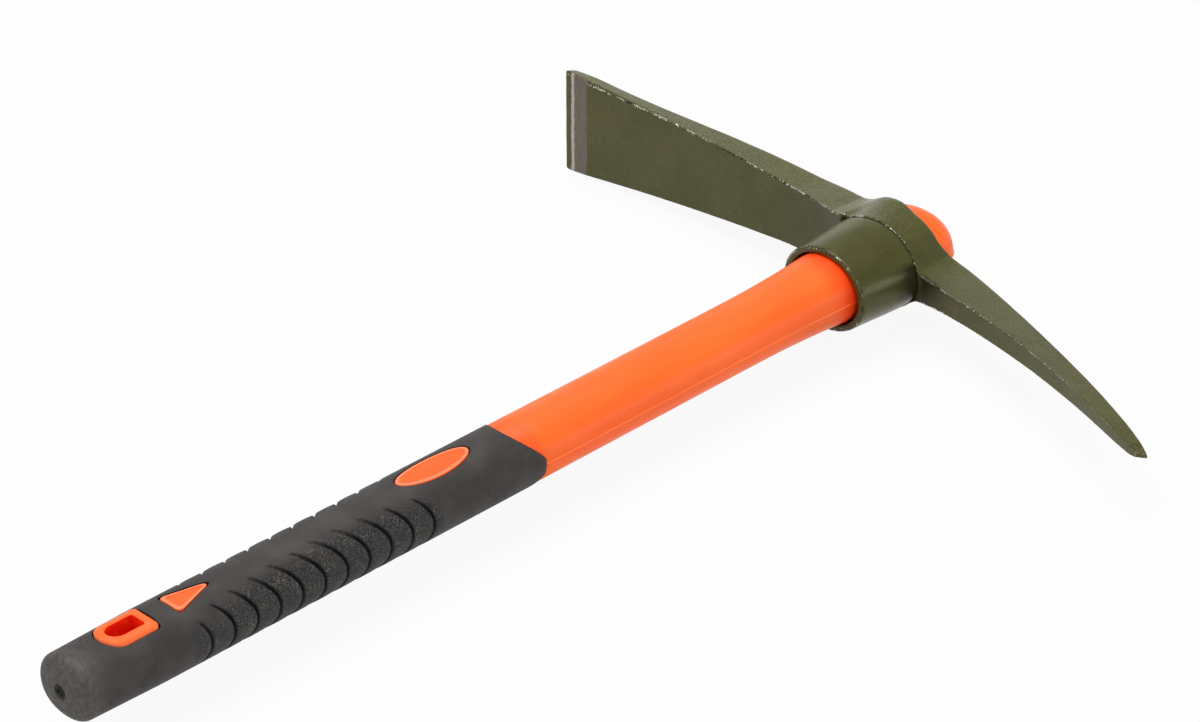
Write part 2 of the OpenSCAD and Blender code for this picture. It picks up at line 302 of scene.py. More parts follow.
def face_height(across, half):
    """How high the handle's broad face is at a distance from its middle line, as a share of its top."""
    return max(0, 1 - min(1, abs(across) / half) ** handle_power) ** (1 / handle_power)


def round_corners(piece, radius, test):
    """Rounds the corners of a flat outline that pass the test."""
    mesh = bmesh.from_edit_mesh(piece.data)
    bpy.ops.mesh.select_all(action="DESELECT")
    bpy.ops.mesh.select_mode(type="VERT")
    for vertex in mesh.verts:
        vertex.select = test(vertex.co)
    mesh.select_flush_mode()
    bpy.ops.mesh.bevel(offset=radius, segments=corner_segments, affect="VERTICES", clamp_overlap=False)


def oval_outline(grow):
    """The long oval, as a flat face."""
    bpy.ops.object.select_all(action="DESELECT")
    bpy.ops.mesh.primitive_circle_add(vertices=oval_sides, radius=1, fill_type="NGON",
                                      location=(0, oval_place, 0))
    bpy.ops.object.mode_set(mode="EDIT")
    bpy.ops.transform.resize(value=(oval_size[0] / 2 + grow, oval_size[1] / 2 + grow, 1),
                             center_override=(0, oval_place, 0))
    return bpy.context.object


def arrow_outline(grow):
    """The small arrow that points to the head, as a flat face."""
    bpy.ops.object.select_all(action="DESELECT")
    bpy.ops.mesh.primitive_circle_add(vertices=3, radius=1, fill_type="NGON")
    outline = bpy.context.object
    half = arrow_size[0] / 2 + arrow_corner * arrow_cut_share + grow * arrow_side_growth
    tip = arrow_base + (arrow_size[1] + arrow_tip_cut) + grow * arrow_tip_growth
    corners = ((0, tip), (-half, arrow_base - grow), (half, arrow_base - grow))
    for vertex, corner in zip(outline.data.vertices, corners):
        vertex.co = (*corner, 0)
    bpy.ops.object.mode_set(mode="EDIT")
    middle = arrow_base + arrow_size[1] / 2
    round_corners(outline, arrow_tip_corner, lambda corner: corner.y > arrow_base + arrow_size[1])
    round_corners(outline, arrow_corner * arrow_round_share, lambda corner: corner.y < middle)
    return outline


def boss_outline(grow):
    """The hang boss, flat towards the head and round towards the butt, as a flat face."""
    half, length = boss_size[0] / 2 + grow, boss_size[1] + grow * 2
    middle = boss_flat_end + grow - length / 2
    bpy.ops.object.select_all(action="DESELECT")
    bpy.ops.mesh.primitive_plane_add(size=1, location=(0, middle, 0))
    outline = bpy.context.object
    bpy.ops.object.mode_set(mode="EDIT")
    bpy.ops.transform.resize(value=(half * 2, length, 1), center_override=(0, middle, 0))
    round_corners(outline, half * boss_round_share, lambda corner: corner.y < 0)
    round_corners(outline, boss_corner, lambda corner: corner.y > 0)
    return outline


def select_where(piece, kind, test):
    """Selects the faces or the edges of a piece that pass the test, in edit mode."""
    bpy.ops.mesh.select_mode(type=kind)
    bpy.ops.mesh.select_all(action="DESELECT")
    mesh = bmesh.from_edit_mesh(piece.data)
    for part in mesh.faces if kind == "FACE" else mesh.edges:
        if test(part):
            part.select_set(True)
    bmesh.update_edit_mesh(piece.data)


def level_and_sharp(rim):
    """Whether an edge of a prism lies level, between two faces that meet at a corner."""
    level = abs(rim.verts[0].co.z - rim.verts[1].co.z) < near_enough
    return level and len(rim.link_faces) == 2 and rim.calc_face_angle() > sharp_angle


def loop_inwards(middle, share_x, share_y, share_z=1):
    """Adds a loop inside the selected faces, drawn in about the outline's middle."""
    bpy.ops.mesh.inset(thickness=loop_inset)
    bpy.ops.transform.resize(value=(share_x, share_y, share_z), center_override=(*middle, 0))


def raise_through(outline, half, edge, hole_rim=0):
    """Makes a flat outline a prism right through the handle, with rounded rims that follow the oval faces.
    With a rim given, the middle is open from face to face."""
    bpy.ops.object.mode_set(mode="OBJECT")
    bpy.ops.object.transform_apply(location=True, rotation=True, scale=True)
    points = [vertex.co for vertex in outline.data.vertices]
    ends = [min(point.y for point in points), max(point.y for point in points)]
    middle, length = (0, sum(ends) / 2), ends[1] - ends[0]
    width = 2 * max(point.x for point in points)
    bpy.ops.object.mode_set(mode="EDIT")
    bpy.ops.mesh.select_all(action="SELECT")
    bpy.ops.transform.translate(value=(0, 0, -half[1]))
    bpy.ops.mesh.extrude_region_move(TRANSFORM_OT_translate={"value": (0, 0, 2 * half[1])})
    bpy.ops.mesh.select_all(action="SELECT")
    bpy.ops.mesh.normals_make_consistent(inside=False)
    select_where(outline, "FACE", lambda face: abs(face.normal.z) > flat_normal)
    if hole_rim:
        loop_inwards(middle, 1 - hole_rim / width, 1 - hole_rim / length)
        loop_inwards(middle, 1 - hole_rim / (width - hole_rim), 1 - hole_rim / (length - hole_rim))
        bpy.ops.mesh.bridge_edge_loops()
    select_where(outline, "EDGE", level_and_sharp)
    if edge:
        bpy.ops.mesh.bevel(offset=edge, segments=island_edge_segments, affect="EDGES", clamp_overlap=False)
    if not hole_rim:
        select_where(outline, "FACE", lambda face: abs(face.normal.z) > flat_normal)
        if edge:
            loop_inwards(middle, 1 - 2 * island_rim / width, 1 - 2 * island_rim / length)
            loop_inwards(middle, 1 - island_rim / width, 1 - island_rim / length, 1 - island_sink / half[1])
        for step in range(island_loops):
            share = 1 - 1 / (island_loops + 1 - step)
            loop_inwards(middle, share, share)
    bpy.ops.object.mode_set(mode="OBJECT")
    for vertex in outline.data.vertices:
        vertex.co.z *= face_height(vertex.co.x, half[0])
    return outline


def rim_and_seam_highlight(point):
    """How much painted highlight the plastic gets at a point: on the islands' raised rims, where it also
    stands for wear, and along the moulding seam.
    """
    below_top = grip_half[1] * face_height(point.x, grip_half[0]) - abs(point.z)
    under_grip = point.y < grip_end - tongue_length
    on_rim = under_grip and abs(point.x) < oval_size[0] and abs(below_top) < rim_reach
    on_seam = abs(point.z) < near_enough and grip_end < point.y < 0
    return rim_highlight_share * on_rim + seam_highlight_share * on_seam


def write_layer(piece, name, values):
    """Stores one value for each point of a piece, for its finish to read."""
    piece.data.attributes.new(name, "FLOAT", "POINT").data.foreach_set("value", values)


hang_hole = raise_through(boss_outline(-boss_rim / 2), boss_half * boss_bore_share, 0)
combine(orange_handle, hang_hole, "DIFFERENCE")
combine(orange_handle, raise_through(oval_outline(0), grip_half, island_edge), "UNION")
combine(orange_handle, raise_through(arrow_outline(0), grip_half, island_edge), "UNION")
combine(orange_handle, raise_through(boss_outline(0), boss_half, island_edge, boss_rim), "UNION")
hole_half = [size / 2 - boss_rim + fit_gap for size in boss_size]
# The hang hole's walls take a second, darker and redder finish, as painted shade inside the hole.
for face in orange_handle.data.polygons:
    along = face.center.y - boss_flat_end + boss_size[1] / 2
    in_hole = abs(face.center.x) < hole_half[0] and abs(along) < hole_half[1]
    if in_hole and abs(face.normal.z) < hole_wall_normal:
        face.material_index = 1
# The islands' rims and the seam are painted paler: painted highlight, on the rims partly wear.
write_layer(orange_handle, "island_rim", [rim_and_seam_highlight(vertex.co) for vertex in orange_handle.data.vertices])
set_in_frame(orange_handle, handle_smooth_angle)

orange_bright = (0.94, 0.145, 0.025)
orange_deep = (0.91, 0.125, 0.019)
# The deeper red of painted shade, used near the eye's mouth and inside the hang hole.
orange_painted_shade = (0.95, 0.055, 0.005)
# The pale orange of that painted highlight.
orange_rim_highlight = (0.96, 0.36, 0.20)
orange_island = (0.94, 0.112, 0.02)
# The dark red of painted shade on the hang hole's walls.
orange_hole_shade = (0.88, 0.016, 0.003)
flow_size, flow_stretch, flow_range = 18, (1, 0.3, 1), (0.35, 0.7)
scuff_size, scuff_stretch, scuff_range, scuff_roughness = 2.5, (1, 0.25, 1), (0.3, 0.75), (0.33, 0.5)
satin_size, satin_relief = 0.35, (0.12, 0.0001)
orange_roughness, orange_specular = 0.38, 0.16
hole_roughness, hole_specular = 0.5, 0.1
hole_cloud_size, hole_cloud_range = 3, (0.4, 0.9)
mouth_shaded = (-11, 2)
dome_clear = (30, 38)
islands_end = (grip_end - 1, grip_end)
boss_tinted, boss_tint_share = (boss_flat_end - 4, arrow_base), 0.35


def ramp(tree, value, low, high, start=0, end=1):
    """Goes smoothly from the start to the end value as the input goes from low to high."""
    inputs = {"Value": value, "From Min": low, "From Max": high, "To Min": start, "To Max": end}
    return add_node(tree, "MapRange", inputs, interpolation_type="SMOOTHSTEP").outputs["Result"]


def work_out(tree, operation, first, *others):
    """Works out one shader value from several, by an operation such as MULTIPLY or ADD."""
    for other in others:
        first = add_node(tree, "Math", {0: first, 1: other}, operation=operation).outputs[0]
    return first


def read_layer(tree, name):
    """The value that a piece's points store under a name."""
    return add_node(tree, "Attribute", {}, attribute_name=name).outputs["Fac"]


def place_on(tree):
    """The place of a shaded point in the frame, as X, Y and Z."""
    place = add_node(tree, "TexCoord", {}).outputs["Object"]
    return add_node(tree, "SeparateXYZ", {"Vector": place}).outputs


def in_metres(start, places):
    """Places in millimetres from the eye's mouth, taken to the frame's metres along the start's axis."""
    return [start + place / 1000 for place in places]


orange, tree, shader = start_finish("orange_satin_plastic", orange_bright, orange_roughness)
flow_marks = grain(tree, flow_size, detail=3, stretch=flow_stretch)
orange_color = tint(tree, ramp(tree, flow_marks, *flow_range), orange_deep, orange_bright)
along_handle = place_on(tree)["Y"]
# Near the eye's mouth the orange goes deeper red, as painted shade from the collar, cleared again before the
# dome.
mouth_shade_share = ramp(tree, along_handle, *in_metres(eye_mouth.y, mouth_shaded))
before_dome = ramp(tree, along_handle, *in_metres(eye_mouth.y, dome_clear), 1, 0)
mouth_shade_share = work_out(tree, "MULTIPLY", mouth_shade_share, before_dome)
on_island = ramp(tree, along_handle, *in_metres(eye_mouth.y, islands_end), 1, 0)
past_boss = ramp(tree, along_handle, *in_metres(eye_mouth.y, boss_tinted), boss_tint_share, 1)
on_island = work_out(tree, "MULTIPLY", on_island, past_boss)
# The painted highlight on the rims and the seam.
rim_highlight_layer = read_layer(tree, "island_rim")
for share, color in ((mouth_shade_share, orange_painted_shade), (on_island, orange_island), (rim_highlight_layer, orange_rim_highlight)):
    orange_color = tint(tree, share, orange_color, color)
scuffs = grain(tree, scuff_size, detail=4, stretch=scuff_stretch)
set_inputs(tree, shader, {
    "Base Color": orange_color,
    "Roughness": ramp(tree, scuffs, *scuff_range, *scuff_roughness),
    "Specular IOR Level": orange_specular})
bump(tree, shader, grain(tree, satin_size), *satin_relief)
orange_handle.data.materials.append(orange)
# The hole walls' finish is a darker, redder copy of the orange: painted shade inside the hole.
hole_wall, tree, shader = start_finish("orange_hole_wall", orange_hole_shade, hole_roughness)
hole_cloud = ramp(tree, grain(tree, hole_cloud_size), *hole_cloud_range)
hole_color = tint(tree, hole_cloud, orange_hole_shade, orange_painted_shade)
set_inputs(tree, shader, {"Base Color": hole_color, "Specular IOR Level": hole_specular})
bump(tree, shader, grain(tree, satin_size), *satin_relief)
orange_handle.data.materials.append(hole_wall)
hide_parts("handle_jacket")
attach(orange_handle, "root")


# Rubber grip
# A soft black rubber sleeve, moulded over the handle's thinner end and round its islands. Its sides carry
# rows of overlapping scales cut by arched grooves, its faces are smooth, and its butt is closed and rounded.

grip_sides = 192
grip_smooth_angle = 40
grip_lip = ((2, 0), (0.5, 0), (0.15, 0.15), (0, 0.5))
skin_share = 0.97
butt_round = 4.2
butt_turn = 3.4
butt_crown = 0.5
butt_taper = 0.5
butt_steps = 8
crown_shares = ((0, 0.45), (0.45, 0.8), (1, 1))
groove_count = 11
groove_pitch = 8.85
groove_first = -277.3
groove_radius = 10.4
groove_half_width = 0.72
groove_depth = 1.15
groove_begins = (-0.5, 0.1)
groove_thins, groove_thin_share = 5, 0.5
groove_end_share, groove_wall_share = 0.75, 0.75
groove_reach_shares = (0.66, 0.85, 0.91, 0.93, 0.95, 0.96, 0.97, 0.97, 0.95, 0.91, 0.84)
arch_limit_share = 0.999
line_slope, line_stop = 6, 0.1
scale_height = 0.4
scale_begins = (-1.2, 3.6)
scale_peak, scale_fullness = 0.78, 0.45
first_scale_shares, last_scale_shares = (0.1, 0.5), (0.75, 0.1)
relief_start, relief_end = -293, -173
relief_margin = 1
relief_spans = 4
relief_cuts = 104
window_gap = 0.48
window_cut_share = 1.2
gate_half = 2.5
gate_depth = 0.9
gate_inset, gate_wall, gate_floor = 0.6, 0.25, 1.2
gate_torn = 1.3


def on_skin(point):
    """Whether a point lies on the outer skin of the grip's full section."""
    across, up = abs(point.x / grip_half[0]), abs(point.z / grip_half[1])
    return across ** handle_power + up ** handle_power > skin_share


def along_relief(edge):
    """Whether an edge runs along the skin, within the length that carries the scales."""
    low, high = sorted(vertex.co.y for vertex in edge.verts)
    inside = low > relief_start - relief_margin and high < relief_end + relief_margin
    return inside and high > low + relief_margin and on_skin(edge.verts[0].co)


end_half = draw_in(grip_half, butt_taper)
face_half = draw_in(end_half, butt_round)
stations = []
for rise_share, half_share in crown_shares:
    stations.append((butt_place + butt_crown * rise_share, face_half * half_share, 0))
for step in range(1, butt_steps + 1):
    turn = math.pi / 2 * step / butt_steps
    place = butt_place + butt_crown + butt_turn * (1 - math.cos(turn))
    stations.append((place, draw_in(end_half, butt_round * (1 - math.sin(turn))), 0))
for step in range(relief_spans + 1):
    stations.append((relief_start + (relief_end - relief_start) * step / relief_spans, grip_half, 0))
for before_end, inset in grip_lip:
    stations.append((grip_end - before_end, draw_in(grip_half, inset), tongue_length))
stations.append((grip_end, under_half, tongue_length))
stations.append((butt_place + butt_wall - fit_gap, under_half, 0))

rubber_grip = start_ring("rubber_grip", grip_sides, handle_power)
pull_ring(rubber_grip, stations)
select_where(rubber_grip, "EDGE", along_relief)
bpy.ops.mesh.subdivide(number_cuts=relief_cuts)
close_mesh()


def smooth_step(value, low, high):
    """Goes smoothly from 0 to 1 as the value goes from low to high."""
    share = min(1, max(0, (value - low) / (high - low)))
    return share * share * (3 - 2 * share)


def groove_end(index):
    """How far from the face's middle line a groove ends."""
    reach_share = groove_reach_shares[min(max(index, 0), groove_count - 1)]
    return grip_half[0] * face_height(groove_radius * reach_share, grip_half[1])


def groove_share(index, across):
    """How deep a groove is at a distance from the face's middle line: 1 at the side, 0 past its end."""
    if not 0 <= index < groove_count:
        return 0
    past_end = abs(across) - groove_end(index)
    deepens = smooth_step(past_end, 0, groove_thins)
    return smooth_step(past_end, *groove_begins) * (groove_thin_share + (1 - groove_thin_share) * deepens)


def scale_share(index, across):
    """How much of a scale's swell there is at a distance from the face's middle line."""
    return smooth_step(abs(across) - groove_end(index), *scale_begins)


def scale_relief(point):
    """How far the skin stands out or falls in at a point, how much of the scales' grain it has there, and
    how near it is to the middle of a groove, which is 1 there and falls below 0 outside it."""
    steep_x = (abs(point.x) / grip_half[0]) ** (handle_power - 1) / grip_half[0]
    steep_z = (abs(point.z) / grip_half[1]) ** (handle_power - 1) / grip_half[1]
    sideways = steep_x / math.hypot(steep_x, steep_z)
    height = min(abs(point.z), groove_radius * arch_limit_share)
    arch = math.sqrt(groove_radius ** 2 - height ** 2)
    turns = (point.y - groove_first + groove_radius - arch) / groove_pitch
    nearest = round(turns)
    slope = height / arch * sideways
    away = abs(turns - nearest) * groove_pitch / math.hypot(1, slope)
    runs = groove_share(nearest, point.x)
    middle = 1 - away / (groove_half_width * (groove_end_share + (1 - groove_end_share) * runs))
    cut = runs * smooth_step(middle, 0, groove_wall_share)
    line = min(middle, line_slope * (runs - line_stop))
    below = math.floor(turns)
    phase = turns - below
    covered = min(scale_share(below, point.x), scale_share(below + 1, point.x))
    if below == -1:
        covered *= smooth_step(phase, *first_scale_shares)
    elif below == groove_count - 1:
        covered *= smooth_step(phase, *last_scale_shares)
    elif not -1 < below < groove_count:
        covered = 0
    crown = math.sin(math.pi * phase ** scale_peak) ** scale_fullness * covered
    return scale_height * (crown - covered) - groove_depth * cut, covered, line


def skin_marks(point):
    """How much a point has of the scales' grain, of a groove's middle and of the torn mark in the butt."""
    if relief_start < point.y < relief_end:
        return (*scale_relief(point)[1:], 0)
    if point.y < butt_place + 2 * gate_depth:
        return 0, 0, max(0, 1 - math.hypot(point.x, point.z) / (gate_half * gate_torn))
    return 0, 0, 0


for vertex in rubber_grip.data.vertices:
    point = vertex.co
    if on_skin(point) and relief_start < point.y < relief_end:
        outward = Vector((point.x / grip_half[0] ** 2, 0, point.z / grip_half[1] ** 2)).normalized()
        vertex.co += outward * scale_relief(point)[0]

bpy.ops.object.mode_set(mode="EDIT")
select_where(rubber_grip, "FACE", lambda face: face.calc_center_median().y < butt_place + near_enough)
bpy.ops.mesh.inset(thickness=gate_inset)
gate_ring = [vertex.co for vertex in bmesh.from_edit_mesh(rubber_grip.data).verts if vertex.select]
gate_width = max(point.x for point in gate_ring)
gate_thickness = max(point.z for point in gate_ring)
bpy.ops.transform.resize(value=(gate_half / gate_width, 1, gate_half / gate_thickness),
                         center_override=(0, butt_place, 0))
bpy.ops.mesh.inset(thickness=gate_wall, depth=-gate_depth)
bpy.ops.mesh.inset(thickness=gate_floor)
bpy.ops.object.mode_set(mode="OBJECT")

for draw_outline in (oval_outline, arrow_outline, boss_outline):
    window = raise_through(draw_outline(window_gap), grip_half * window_cut_share, 0)
    combine(rubber_grip, window, "DIFFERENCE")
marks = [skin_marks(vertex.co) for vertex in rubber_grip.data.vertices]
for name, values in zip(("scale_grain", "groove_line", "gate_mark"), zip(*marks)):
    write_layer(rubber_grip, name, values)
set_in_frame(rubber_grip, grip_smooth_angle)

rubber_smooth = (0.033, 0.0295, 0.0275)
rubber_worn = (0.048, 0.0435, 0.0405)
rubber_scale = (0.013, 0.012, 0.011)
rubber_speck = (0.066, 0.062, 0.059)
rubber_dust = (0.13, 0.121, 0.108)
# Near black: painted shade in the grooves and the gate recess, with some dirt in the grooves and the torn
# mark in the gate.
rubber_shade_and_dirt = (0.004, 0.004, 0.004)
rubber_roughness, rubber_specular = 0.62, 0.25
cloud_size, cloud_range = 9, (0.35, 0.75)
speck_size, speck_range = 0.6, (0.42, 0.7)
speck_gloss_range, speck_roughness = (0.3, 0.7), (0.5, 0.75)
speck_relief, smooth_relief_share = 0.0003, 0.15
dust_size, dust_range = 4, (0.45, 0.75)
butt_dusty, butt_dust_share = (butt_place + 2, butt_place + 11), 0.8
butt_dust_size, butt_dust_range, butt_dust_shares = 1.6, (0.3, 0.8), (0.22, 0.68)
groove_shade_range = (0.1, 0.45)
torn_size, torn_range = 1.4, (0.84, 0.92)

rubber, tree, shader = start_finish("black_rubber", rubber_smooth, rubber_roughness)
clouds = ramp(tree, grain(tree, cloud_size, detail=3), *cloud_range)
plain_color = tint(tree, clouds, rubber_smooth, rubber_worn)
dusty = ramp(tree, grain(tree, dust_size, detail=3), *dust_range)
speck_top = tint(tree, dusty, rubber_speck, rubber_dust)
specks = grain(tree, speck_size, detail=4)
speck_color = tint(tree, ramp(tree, specks, *speck_range), rubber_scale, speck_top)
scaled = read_layer(tree, "scale_grain")
near_butt = ramp(tree, place_on(tree)["Y"], *in_metres(eye_mouth.y, butt_dusty), butt_dust_share, 0)
butt_dust = ramp(tree, grain(tree, butt_dust_size, detail=5), *butt_dust_range, *butt_dust_shares)
butt_dust = work_out(tree, "MULTIPLY", butt_dust, near_butt)
# The grooves and the torn gate mark in the butt's recess go near black, as painted shade in these recesses,
# partly dirt and the torn mark itself.
groove_shade_and_dirt = ramp(tree, read_layer(tree, "groove_line"), *groove_shade_range)
torn_mark_and_shade = work_out(tree, "ADD", read_layer(tree, "gate_mark"), grain(tree, torn_size, detail=3))
torn_mark_and_shade = ramp(tree, torn_mark_and_shade, *torn_range)
rubber_color = tint(tree, scaled, plain_color, speck_color)
for share, color in ((butt_dust, rubber_dust), (groove_shade_and_dirt, rubber_shade_and_dirt), (torn_mark_and_shade, rubber_shade_and_dirt)):
    rubber_color = tint(tree, share, rubber_color, color)
set_inputs(tree, shader, {
    "Base Color": rubber_color,
    "Roughness": ramp(tree, specks, *speck_gloss_range, *speck_roughness),
    "Specular IOR Level": rubber_specular})
bump(tree, shader, specks, ramp(tree, scaled, 0, 1, smooth_relief_share, 1), speck_relief)
rubber_grip.data.materials.append(rubber)
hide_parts("grip")
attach(rubber_grip, "root")


# Forged head
# One drop forging in steel, blade, eye and pick in one, with a draft each way from its parting line and the
# trimmed flash still along it. It is painted olive, and the blade's bevel is ground bare. It slides on over
# the grip and jams on the handle's wider end.

head_sides = 48
head_smooth_angle = 35
ring_swell = 3 / (2 + math.cos(2 * math.pi / head_sides))
eye_flat = 0.8352
parting_place = 26.0
band_top = 26.6
root_top = 39.6
eye_stations = (
    (1.2, 15.0), (0.35, 15.15), (0.0, 15.6), (0.0, 17.2), (0.3, 17.75), (1.2, 17.9), (5, 18.1), (14, 18.7),
    (22, 19.15), (24.7, 19.25), (25.3, 18.8), (25.8, 18.2), (parting_place, 19.4), (band_top, 19.5),
    (27.6, 19.4), (33, 19.1), (38, 18.65), (root_top, 18.4), (40.3, 18.15), (40.5, 17.5), (40.5, 16.5),
    (40.0, 15.9), (38.5, 15.7), (20, 15.35), (1.2, 15.0))
outer_radius = 17.5
side_share = 0.99
blade_spread = math.radians(52.5)
pick_spread = math.radians(37.5)
shoulder_rise = 1.9
shoulder_turn = (math.radians(70), math.radians(100))
shoulder_rim = (16.6, 17.9)
shoulder_height = (27.6, 38)
shoulder_push = 2.5
push_start = (math.radians(75), math.radians(135))
push_end = (math.radians(140), math.radians(165))
pick_blend = 2.4
blend_rows = (20, 25)
blend_turn = (math.radians(12), math.radians(32))
groove_rows = (25, parting_place - 0.1)
groove_fill = 1.03
pick_fill = 19.35


def eye_radius(point):
    """The half width of the oval ring round the eye that a point lies on."""
    return math.hypot(point.x, point.z / eye_flat)


def head_layers():
    """The head's mesh in edit mode, and its layers for each point's place on an arm: the share of the depth,
    the share of the half width, and the number of the section."""
    mesh = bmesh.from_edit_mesh(forged_head.data)
    layers = mesh.verts.layers.float
    return mesh, layers["depth_share"], layers["width_share"], layers["section_number"]


forged_head = start_ring("forged_head", head_sides, 2)
pull_ring(forged_head, [(place, Vector((radius, radius * eye_flat)) * ring_swell, 0)
                        for place, radius in eye_stations])
close_mesh()
bpy.ops.object.mode_set(mode="EDIT")
for name in ("depth_share", "width_share", "section_number"):
    bmesh.from_edit_mesh(forged_head.data).verts.layers.float.new(name)
head_mesh, depth_share, width_share, section_number = head_layers()
for vertex in head_mesh.verts:
    turn = math.atan2(vertex.co.z / eye_flat, vertex.co.x)
    outside = eye_radius(vertex.co) > outer_radius
    vertex[depth_share] = -1
    vertex[width_share] = 1
    if abs(turn) < pick_spread + near_enough:
        vertex[width_share] = math.sin(turn) / math.sin(pick_spread)
    elif abs(turn) > math.pi - blade_spread - near_enough:
        vertex[width_share] = math.sin(turn) / math.sin(blade_spread)
    if outside and parting_place - near_enough < vertex.co.y < root_top + near_enough:
        vertex[depth_share] = (vertex.co.y - parting_place) / (root_top - parting_place)
    if outside and groove_rows[0] < vertex.co.y < groove_rows[1] and abs(vertex[width_share]) < side_share:
        fill = pick_fill / eye_radius(vertex.co) if vertex.co.x > 0 else groove_fill
        vertex.co.x *= fill
        vertex.co.z *= fill
    if outside and vertex.co.y < groove_rows[1]:
        blend = smooth_step(vertex.co.y, *blend_rows) * (1 - smooth_step(abs(turn), *blend_turn))
        vertex.co.x += pick_blend * blend
    rim = smooth_step(eye_radius(vertex.co), *shoulder_rim)
    rise = rim * smooth_step(abs(turn), *shoulder_turn) * smooth_step(vertex.co.y, *shoulder_height)
    push = rise * smooth_step(abs(turn), *push_start) * (1 - smooth_step(abs(turn), *push_end))
    vertex.co.y += shoulder_rise * rise
    vertex.co.z += math.copysign(shoulder_push * push, vertex.co.z)
bmesh.update_edit_mesh(forged_head.data)


def select_arm(side):
    """Selects the faces that an arm grows from, on one side of the eye above the parting line."""
    depth_layer, width_layer = head_layers()[1:3]

    def under_arm(face):
        in_depth = all(vertex[depth_layer] >= 0 for vertex in face.verts)
        in_width = any(abs(vertex[width_layer]) < side_share for vertex in face.verts)
        return in_depth and in_width and face.calc_center_median().x * side > 0

    select_where(forged_head, "FACE", under_arm)


def grow_arm(sections, least_draft, draft_share):
    """Extrudes the selected faces through sections, each an inner edge, an outer edge and a half width."""
    for number, (inner, outer, half) in enumerate(sections, 1):
        bpy.ops.mesh.extrude_region_move()
        mesh, depth_layer, width_layer, number_layer = head_layers()
        draft = least_draft + (outer - inner).length * draft_share
        for vertex in mesh.verts:
            if vertex.select:
                across = inner.lerp(outer, vertex[depth_layer])
                vertex.co = (*across, vertex[width_layer] * (half - draft * vertex[depth_layer]))
                vertex[number_layer] = number
        bmesh.update_edit_mesh(forged_head.data)


blade_reach = 148
edge_width = 40
blade_root_width = 22.4
blade_widens = 40
blade_draft = (0.95, 0.02)
blade_inner_root = 30.3
blade_fillet = 5.2
fillet_length = 32.5
fillet_start = 15
blade_sag = 5
sag_start = 62
blade_outer_root = 43.2
blade_rise, blade_rise_end, blade_rise_power = 1.2, 29, 1.6
root_swell, swell_fades = 1.2, (70, 25)
outer_bend = (47.4, 140.6)
blade_depth = 5.9
thin_depth, thin_start, thin_power = 2.9, 134, 1.5
bevel_start = 137.6
bevel_depth = 0.7


def blade_inner(reach):
    """The height of the blade's inner face at a distance from the eye's middle."""
    sag = blade_sag * max(0, (reach - sag_start) / (blade_reach - sag_start)) ** 2
    fillet = blade_fillet * max(0, 1 - (reach - fillet_start) / fillet_length) ** 2
    return blade_inner_root - sag - fillet


def blade_section(reach, lift=0, drop=0, narrow=0):
    """A section of the blade, with its inner face lifted, its outer face lowered and its sides drawn in."""
    edge_place = blade_inner(bevel_start) + blade_depth
    outer = blade_outer_root + (edge_place - blade_outer_root) * smooth_step(reach, *outer_bend)
    outer += root_swell * smooth_step(reach, *swell_fades)
    rise_left = max(0, (blade_rise_end - reach) / (blade_rise_end - fillet_start))
    outer -= blade_rise * rise_left ** blade_rise_power
    outer -= thin_depth * max(0, (reach - thin_start) / (blade_reach - thin_start)) ** thin_power
    wide = max(0, (reach - blade_widens) / (blade_reach - blade_widens))
    half = (blade_root_width + (edge_width - blade_root_width) * wide) / 2 - narrow
    return Vector((-reach, blade_inner(reach) + lift)), Vector((-reach, outer - drop)), half


flared_sections = ((14.8, -2.4), (16.6, -1.5), (18.6, -0.6))
plain_reaches = (21, 24, 28, 34, 41, 49, 58, 68, 78, 88, 98, 108, 118, 127, 134, 137.1, bevel_start)
edge_sections = (
    (138.2, 0.06), (141.5, bevel_depth * 0.45), (145.1, bevel_depth * 0.9), (145.5, bevel_depth),
    (145.9, bevel_depth + 0.03, 0, 0.08), (147.1, bevel_depth + 0.15, 0, 0.25),
    (147.5, bevel_depth + 0.25, 0.1, 0.5), (blade_reach - 0.15, bevel_depth + 0.55, 0.3, 1.0))
blade_sections = [blade_section(reach, narrow=narrow) for reach, narrow in flared_sections]
blade_sections += [blade_section(reach) for reach in plain_reaches]
blade_sections += [blade_section(*section) for section in edge_sections]
select_arm(-1)
grow_arm(blade_sections, *blade_draft)

pick_reach = 142
pick_root = 15
pick_outer_root = 17.6
pick_root_depth = 18.4
pick_root_width = 8.8
pick_tip_width = 2.6
pick_draft = (0, 0.05)
pick_flare, pick_flare_share = 1.7, 0.12
pick_point, pick_point_share = 9, 0.94
pick_lift, pick_lift_share = 1.0, 0.5
pick_tip_inner = Vector((138.6, -8.8))
pick_tip_outer = Vector((142, -7.1))
inner_curve_shares = ((0.61, 0.14), (0.85, 0.845))
outer_curve_shares = ((0.2, -0.11), (0.83, 0.63))
pick_shares = (
    0.03, 0.045, 0.065, 0.09, 0.12, 0.16, 0.2, 0.25, 0.31, 0.37, 0.43, 0.49, 0.55, 0.61, 0.67, 0.73, 0.79,
    0.85, 0.9, 0.94, 0.97, 0.985, 0.995, 1)


def curve_point(start, end, curve_shares, share):
    """A point on a curve of the pick. It is drawn from the start to the end by two points between them, each
    given as shares of the pick's reach and of the fall from start to end."""
    first, second = (Vector((pick_reach * reach_share, start.y + (end.y - start.y) * fall_share))
                     for reach_share, fall_share in curve_shares)
    rest = 1 - share
    near_start = start * rest ** 3 + first * 3 * rest ** 2 * share
    return near_start + second * 3 * rest * share ** 2 + end * share ** 3


